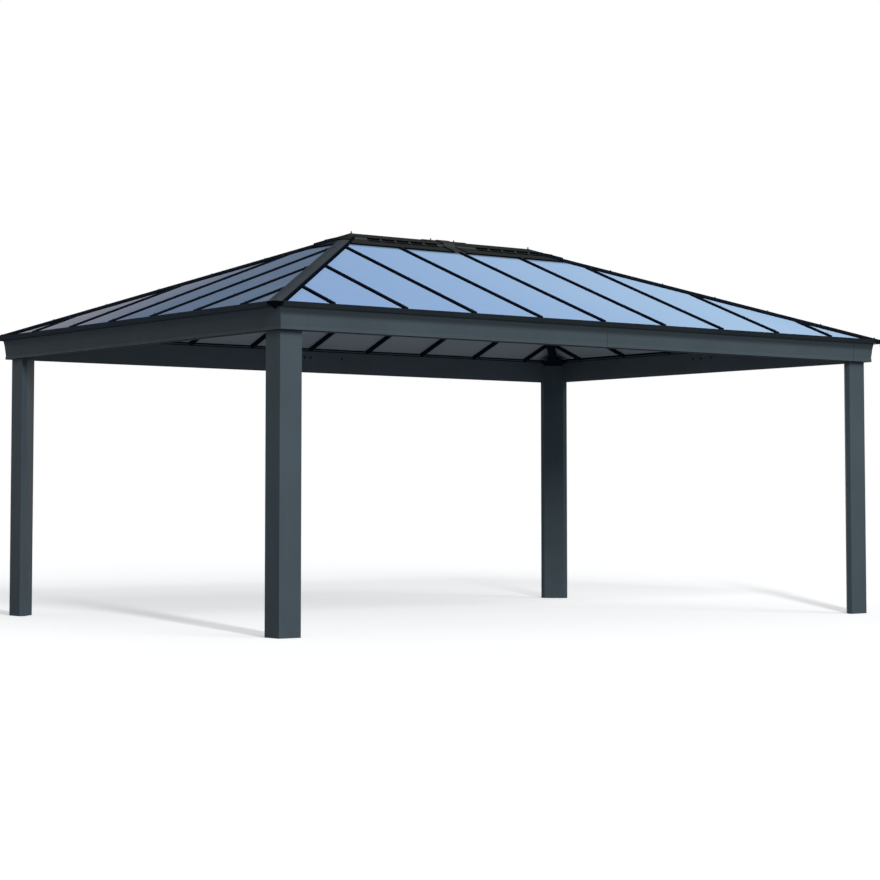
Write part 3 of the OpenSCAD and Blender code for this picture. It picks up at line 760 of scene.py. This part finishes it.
# Screws along the glazing bars, and a seal beside each edge of their flanges
bar_points = []
bar_lines = []
for side in SIDES:
    for u in side_bars(side):
        run = bar_run(side, u)
        count = max(2, round(run / BAR_SCREW_PITCH) + 1)
        for i in range(count):
            v = BAR_SCREW_INSET + (run - 2 * BAR_SCREW_INSET) * i / (count - 1)
            bar_points.append((on_slope(side, u, v, FLANGE_TOP), slope_normal(side)))
        for edge in (-1, 1):
            beside = u + edge * (FLANGE_W / 2 + BAR_SEAL_GAP)
            ends = (BAR_SEAL_INSET, run - BAR_SEAL_INSET)
            bar_lines.append([on_slope(side, beside, v, BAR_SEAL_H) for v in ends])
add_screws("glazing_bar_screws", bar_points, SMALL_SCREW, dark_screw)
add_seals("glazing_seals", bar_lines, BAR_SEAL_R)


# Screws along the crests of the hip caps
def hip_normal(sx, sy):
    lean = math.sin(HIP_UP) / math.sqrt(2)
    return Vector((sx * lean, sy * lean, math.cos(HIP_UP)))


hip_points = []
for sx, sy in CORNER_SIGNS:
    normal = hip_normal(sx, sy)
    for i in range(HIP_SCREW_COUNT):
        d = HIP_SCREW_FIRST + i * HIP_SCREW_PITCH
        foot = Vector((sx * (EAVE_X - d), sy * (EAVE_Y - d), EAVE_Z + d * math.tan(PITCH)))
        hip_points.append((foot + normal * (CAP_CREST - HIP_SCREW_SINK), normal))
add_screws("hip_cap_screws", hip_points, SMALL_SCREW, dark_screw)


def solid_piece(name, sections, mat, bevel):
    """A piece of bevelled prisms, each given by the two end rings of its section."""
    mesh = bpy.data.meshes.new(name)
    form = bmesh.new()
    for first, last in sections:
        ring_a = [form.verts.new(place) for place in first]
        ring_b = [form.verts.new(place) for place in last]
        count = len(ring_a)
        form.faces.new(ring_a)
        form.faces.new(ring_b[::-1])
        for i in range(count):
            j = (i + 1) % count
            form.faces.new((ring_a[i], ring_b[i], ring_b[j], ring_a[j]))
    bmesh.ops.recalc_face_normals(form, faces=form.faces)
    bmesh.ops.bevel(form, geom=form.edges[:], offset=bevel, segments=2, affect="EDGES", profile=0.5)
    form.to_mesh(mesh)
    form.free()
    mesh.materials.append(mat)
    obj = bpy.data.objects.new(name, mesh)
    scene.collection.objects.link(obj)
    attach(obj, "root")


# Cover plates over the hood's ridge, beside the joiner
def cover_ring(x):
    edge = HOOD_Y - COVER_INSET
    low = HOOD_Z + COVER_LIFT
    fall = edge * math.tan(PITCH)
    return [
        (x, 0, low + COVER_T), (x, edge, low + COVER_T - fall), (x, edge, low - fall),
        (x, 0, low), (x, -edge, low - fall), (x, -edge, low + COVER_T - fall),
    ]


cover_spans = ((-COVER_LEFT, -COVER_START), (COVER_START, COVER_RIGHT))
solid_piece(
    "vent_cover_plates",
    [[cover_ring(x) for x in span] for span in cover_spans],
    charcoal, COVER_BEVEL,
)


# Places on the four hips: a in plan from the hip's head, q across it, h square to it
def hip_point(sx, sy, a, q, h):
    foot = Vector((sx * (HIP_MEET + a), sy * a, RIDGE_Z - a * math.tan(PITCH)))
    across = Vector((sx, -sy, 0)) / math.sqrt(2)
    return foot + across * q + hip_normal(sx, sy) * h


# Saddles that close the hip caps' upper ends against the vent
def saddle_outline(crest):
    """A saddle's section: a low ridge with two side walls, from its crest round and back."""
    side = crest - SADDLE_FALL
    inner = SADDLE_HALF - SADDLE_WALL
    under = side - SADDLE_WALL
    return [
        (0, crest),
        (SADDLE_HALF, side), (SADDLE_HALF, SADDLE_FOOT), (inner, SADDLE_FOOT), (inner, under),
        (0, crest - SADDLE_WALL),
        (-inner, under), (-inner, SADDLE_FOOT), (-SADDLE_HALF, SADDLE_FOOT), (-SADDLE_HALF, side),
    ]


def saddle_sections(sx, sy):
    """A saddle's two lengths: one mitred round the riser's corner, and a lower one over the cap."""
    def ring(a, crest, mitre=0.0):
        return [hip_point(sx, sy, a - mitre * abs(q), q, h) for q, h in saddle_outline(crest)]
    upper = (
        ring(SADDLE_START, SADDLE_HEAD, math.sqrt(0.5)),
        ring(SADDLE_SPLIT, SADDLE_TOP + SADDLE_STEP),
    )
    lower = (ring(SADDLE_SPLIT + SADDLE_GAP, SADDLE_TOP), ring(SADDLE_END, SADDLE_TOP))
    return [upper, lower]


solid_piece(
    "hip_cap_saddles",
    [section for sx, sy in CORNER_SIGNS for section in saddle_sections(sx, sy)],
    charcoal_saddle, SADDLE_BEVEL,
)


# Mesh liner behind the vent's slots: four upright strips inside the riser
def box_rings(x0, x1, y0, y1, z0, z1):
    return [[(x, y0, z0), (x, y1, z0), (x, y1, z1), (x, y0, z1)] for x in (x0, x1)]


mesh_end = MESH_Y - MESH_T - MESH_GAP
liner = []
for sy in (-1, 1):
    wall_y = sorted((sy * MESH_Y, sy * (MESH_Y - MESH_T)))
    liner.append(box_rings(-MESH_X, MESH_X, *wall_y, *MESH_Z))
for sx in (-1, 1):
    wall_x = sorted((sx * MESH_X, sx * (MESH_X - MESH_T)))
    liner.append(box_rings(*wall_x, -mesh_end, mesh_end, *MESH_Z))
solid_piece("vent_mesh_liner", liner, rubber, MESH_BEVEL)


# Rubber lips along the saddles' lower edges, the joiner's two edges and the skirt's foot
def saddle_lip(sx, sy):
    """Pairs of places round a saddle's outer edge, from one wall's foot over the crest to the other's."""
    outline = saddle_outline(SADDLE_TOP - SADDLE_STEP)
    places = [hip_point(sx, sy, SADDLE_LIP, q, h) for q, h in outline]
    corners = places[-2:] + places[:3]
    return list(zip(corners[:-1], corners[1:]))


def joiner_lip(x, sy, base, near, far):
    return [Vector((x, sy * y, base - y * math.tan(PITCH))) for y in (near, far)]


lip_lines = [pair for sx, sy in CORNER_SIGNS for pair in saddle_lip(sx, sy)]
for x in (-JOINER_LIP_X, JOINER_LIP_X):
    for sy in (-1, 1):
        lip_lines += [joiner_lip(x, sy, *lip) for lip in JOINER_LIPS]
skirt_lip_v = EAVE_Y - SKIRT_LIP_Y
for side in SIDES:
    reach = SKIRT_LIP_Y - CAP_CLEAR - SKIRT_LIP_INSET
    spans = [(-reach, reach)]
    if side in LONG_SIDES:
        reach += HIP_MEET
        spans = [(-reach, -JOINER_LIP_X), (JOINER_LIP_X, reach)]
    lip_lines += [[on_slope(side, u, skirt_lip_v, SKIRT_LIP_H) for u in span] for span in spans]
add_seals("vent_lips", lip_lines, LIP_R)

# Seals along both edges of the hip caps
cap_edge = CAP_W / 2 + CAP_SEAL_GAP
cap_ends = (SKIRT_Y + CAP_SEAL_INSET, EAVE_Y - CAP_SEAL_INSET)
cap_h = CAP_SEAL_H - cap_edge * HIP_FALL
cap_lines = [
    [hip_point(sx, sy, a, q, cap_h) for a in cap_ends]
    for sx, sy in CORNER_SIGNS
    for q in (-cap_edge, cap_edge)
]
add_seals("hip_cap_seals", cap_lines, CAP_SEAL_R)

# Upright screws on the vent's ridge
pins = [(Vector((x, 0, HOOD_Z - RIDGE_SCREW_SINK)), Vector((0, 0, 1))) for x in RIDGE_SCREW_X]
add_screws("vent_ridge_screws", pins, RIDGE_SCREW, dark_screw)

# Screws near the heads of the beams' inner faces
inner_y = CORNER_Y - POST_RETURN
inner_x = CORNER_X - POST_RETURN
beam_points = []
for sy in (-1, 1):
    for x in BEAM_SCREW_X:
        beam_points.append((Vector((sy * x, sy * inner_y, BEAM_SCREW_Z)), Vector((0, -sy, 0))))
for sx in (-1, 1):
    for y in BEAM_SCREW_Y:
        beam_points.append((Vector((sx * inner_x, y, BEAM_SCREW_Z)), Vector((-sx, 0, 0))))
add_screws("beam_screws", beam_points, BEAM_SCREW, slate_screw)

# Straps across the gutters
strap_points = []
for side in SIDES:
    for u in side_bars(side):
        middle = on_slope(side, u + STRAP_OFF, -GUTTER_W / 2 + RIM_T, 0)
        middle.z = FASCIA_TOP + STRAP_RISE
        aim = slope_normal(side)
        aim.z = 0
        strap_points.append((middle, -aim.normalized()))
grown(
    "gutter_straps", seed_points("gutter_straps", strap_points), strap_tree, strap_keys,
    dict(STRAP_SIZE, Material=dark_screw),
)

# Floor, world, light and camera
KEY_PLACE = Vector((-6.2, -14.1, 7.4))
KEY_AXIS = Vector((0.7, 0.714, 0)).normalized()
KEY_LEVEL = 3.0
KEY_SIZE = (0.8, 5.8)
FLOOR_HALF = 60
FLOOR_DROP = 0.001
FLOOR_SEEN = 0.76
FLOOR_WHITE = 0.708
FLOOR_BOUNCE = (0.52, 0.57, 0.62, 1)
AMBIENT = (0.74, 0.88, 1, 1)
AMBIENT_LEVEL = 0.1
CAMERA_PLACE = (-11.4024, -14.8651, 0.9158)
CAMERA_TURN = (93.331, 0, -37.369)
CAMERA_SHIFT = (0.00285, -0.07527)
CAMERA_LENS = 91.638
CAMERA_SENSOR = 36
CAMERA_REACH = 200

floor_mesh = bpy.data.meshes.new("studio_floor")
floor_corners = [(x * FLOOR_HALF, y * FLOOR_HALF, 0) for x, y in ((-1, -1), (1, -1), (1, 1), (-1, 1))]
floor_mesh.from_pydata(floor_corners, [], [(0, 1, 2, 3)])
floor = bpy.data.objects.new("studio_floor", floor_mesh)
floor.location.z = -FLOOR_DROP
scene.collection.objects.link(floor)

# The floor as the camera sees it evens out the strip light, so that only shadows show on it
floor_mat = bpy.data.materials.new("studio_floor")
floor_mat.use_nodes = True
tree = floor_mat.node_tree
tree.nodes.clear()
out = tree.nodes.new("ShaderNodeOutputMaterial")
bounce = new_node(tree, "ShaderNodeBsdfDiffuse", Color=FLOOR_BOUNCE)
seen = new_node(tree, "ShaderNodeBsdfDiffuse", Color=(FLOOR_SEEN, FLOOR_SEEN, FLOOR_SEEN, 1))
ray = vector_node(tree, "SUBTRACT", object_coords(tree), KEY_PLACE).outputs["Vector"]
along = vector_node(tree, "DOT_PRODUCT", ray, KEY_AXIS).outputs["Value"]
square = vector_node(tree, "DOT_PRODUCT", ray, ray).outputs["Value"]
even = math_node(tree, "DIVIDE", along, square)
even = times(tree, even, -FLOOR_SEEN * KEY_LEVEL * KEY_PLACE.z / math.pi)
even = math_node(tree, "ADD", even, FLOOR_WHITE, clamp=True)
lift = new_node(tree, "ShaderNodeEmission", Strength=even)
both = tree.nodes.new("ShaderNodeAddShader")
link(tree, seen.outputs["BSDF"], both.inputs[0])
link(tree, lift.outputs["Emission"], both.inputs[1])
path = tree.nodes.new("ShaderNodeLightPath")
mixed = mix_shaders(tree, path.outputs["Is Camera Ray"], bounce.outputs["BSDF"], both.outputs["Shader"])
link(tree, mixed, out.inputs["Surface"])
floor_mesh.materials.append(floor_mat)

world = bpy.data.worlds.new("studio")
scene.world = world
world.use_nodes = True
tree = world.node_tree
tree.nodes.clear()
out = tree.nodes.new("ShaderNodeOutputWorld")
ambient = new_node(tree, "ShaderNodeBackground", Color=AMBIENT, Strength=AMBIENT_LEVEL)
white = new_node(tree, "ShaderNodeBackground", Color=(1, 1, 1, 1))
path = tree.nodes.new("ShaderNodeLightPath")
shown = math_node(tree, "MAXIMUM", path.outputs["Is Camera Ray"], path.outputs["Is Glossy Ray"])
shown = math_node(tree, "MAXIMUM", shown, path.outputs["Is Transmission Ray"])
mixed = mix_shaders(tree, shown, ambient.outputs["Background"], white.outputs["Background"])
link(tree, mixed, out.inputs["Surface"])

# Tall strip light in front, whose strength does not fall with distance
key_data = bpy.data.lights.new("key_strip", "AREA")
key_data.shape = "RECTANGLE"
key_data.size, key_data.size_y = KEY_SIZE
key_data.energy = KEY_LEVEL * math.pi
key_data.use_nodes = True
tree = key_data.node_tree
glow = next(item for item in tree.nodes if item.type == "EMISSION")
fall = new_node(tree, "ShaderNodeLightFalloff", Strength=1.0)
link(tree, fall.outputs["Constant"], glow.inputs["Strength"])
key = bpy.data.objects.new("key_strip", key_data)
key.location = KEY_PLACE
key.rotation_euler = (-KEY_AXIS).to_track_quat("Z", "Y").to_euler()
scene.collection.objects.link(key)

# Soft suns: name, level, spread in degrees and the way towards the sun
for name, energy, spread, towards in (
    ("soft_front", 1.15, 38, (0.2, -0.86, 0.47)),
    ("soft_top", 0.5, 100, (0.0, -0.05, 1.0)),
):
    soft_data = bpy.data.lights.new(name, "SUN")
    soft_data.energy = energy
    soft_data.angle = math.radians(spread)
    soft = bpy.data.objects.new(name, soft_data)
    soft.rotation_euler = Vector(towards).to_track_quat("Z", "Y").to_euler()
    scene.collection.objects.link(soft)

cam_data = bpy.data.cameras.new("camera")
cam_data.sensor_width = CAMERA_SENSOR
cam_data.lens = CAMERA_LENS
cam_data.shift_x, cam_data.shift_y = CAMERA_SHIFT
cam_data.clip_end = CAMERA_REACH
cam = bpy.data.objects.new("camera", cam_data)
cam.location = CAMERA_PLACE
cam.rotation_euler = [math.radians(angle) for angle in CAMERA_TURN]
scene.collection.objects.link(cam)
scene.camera = cam
scene.view_settings.view_transform = "Standard"
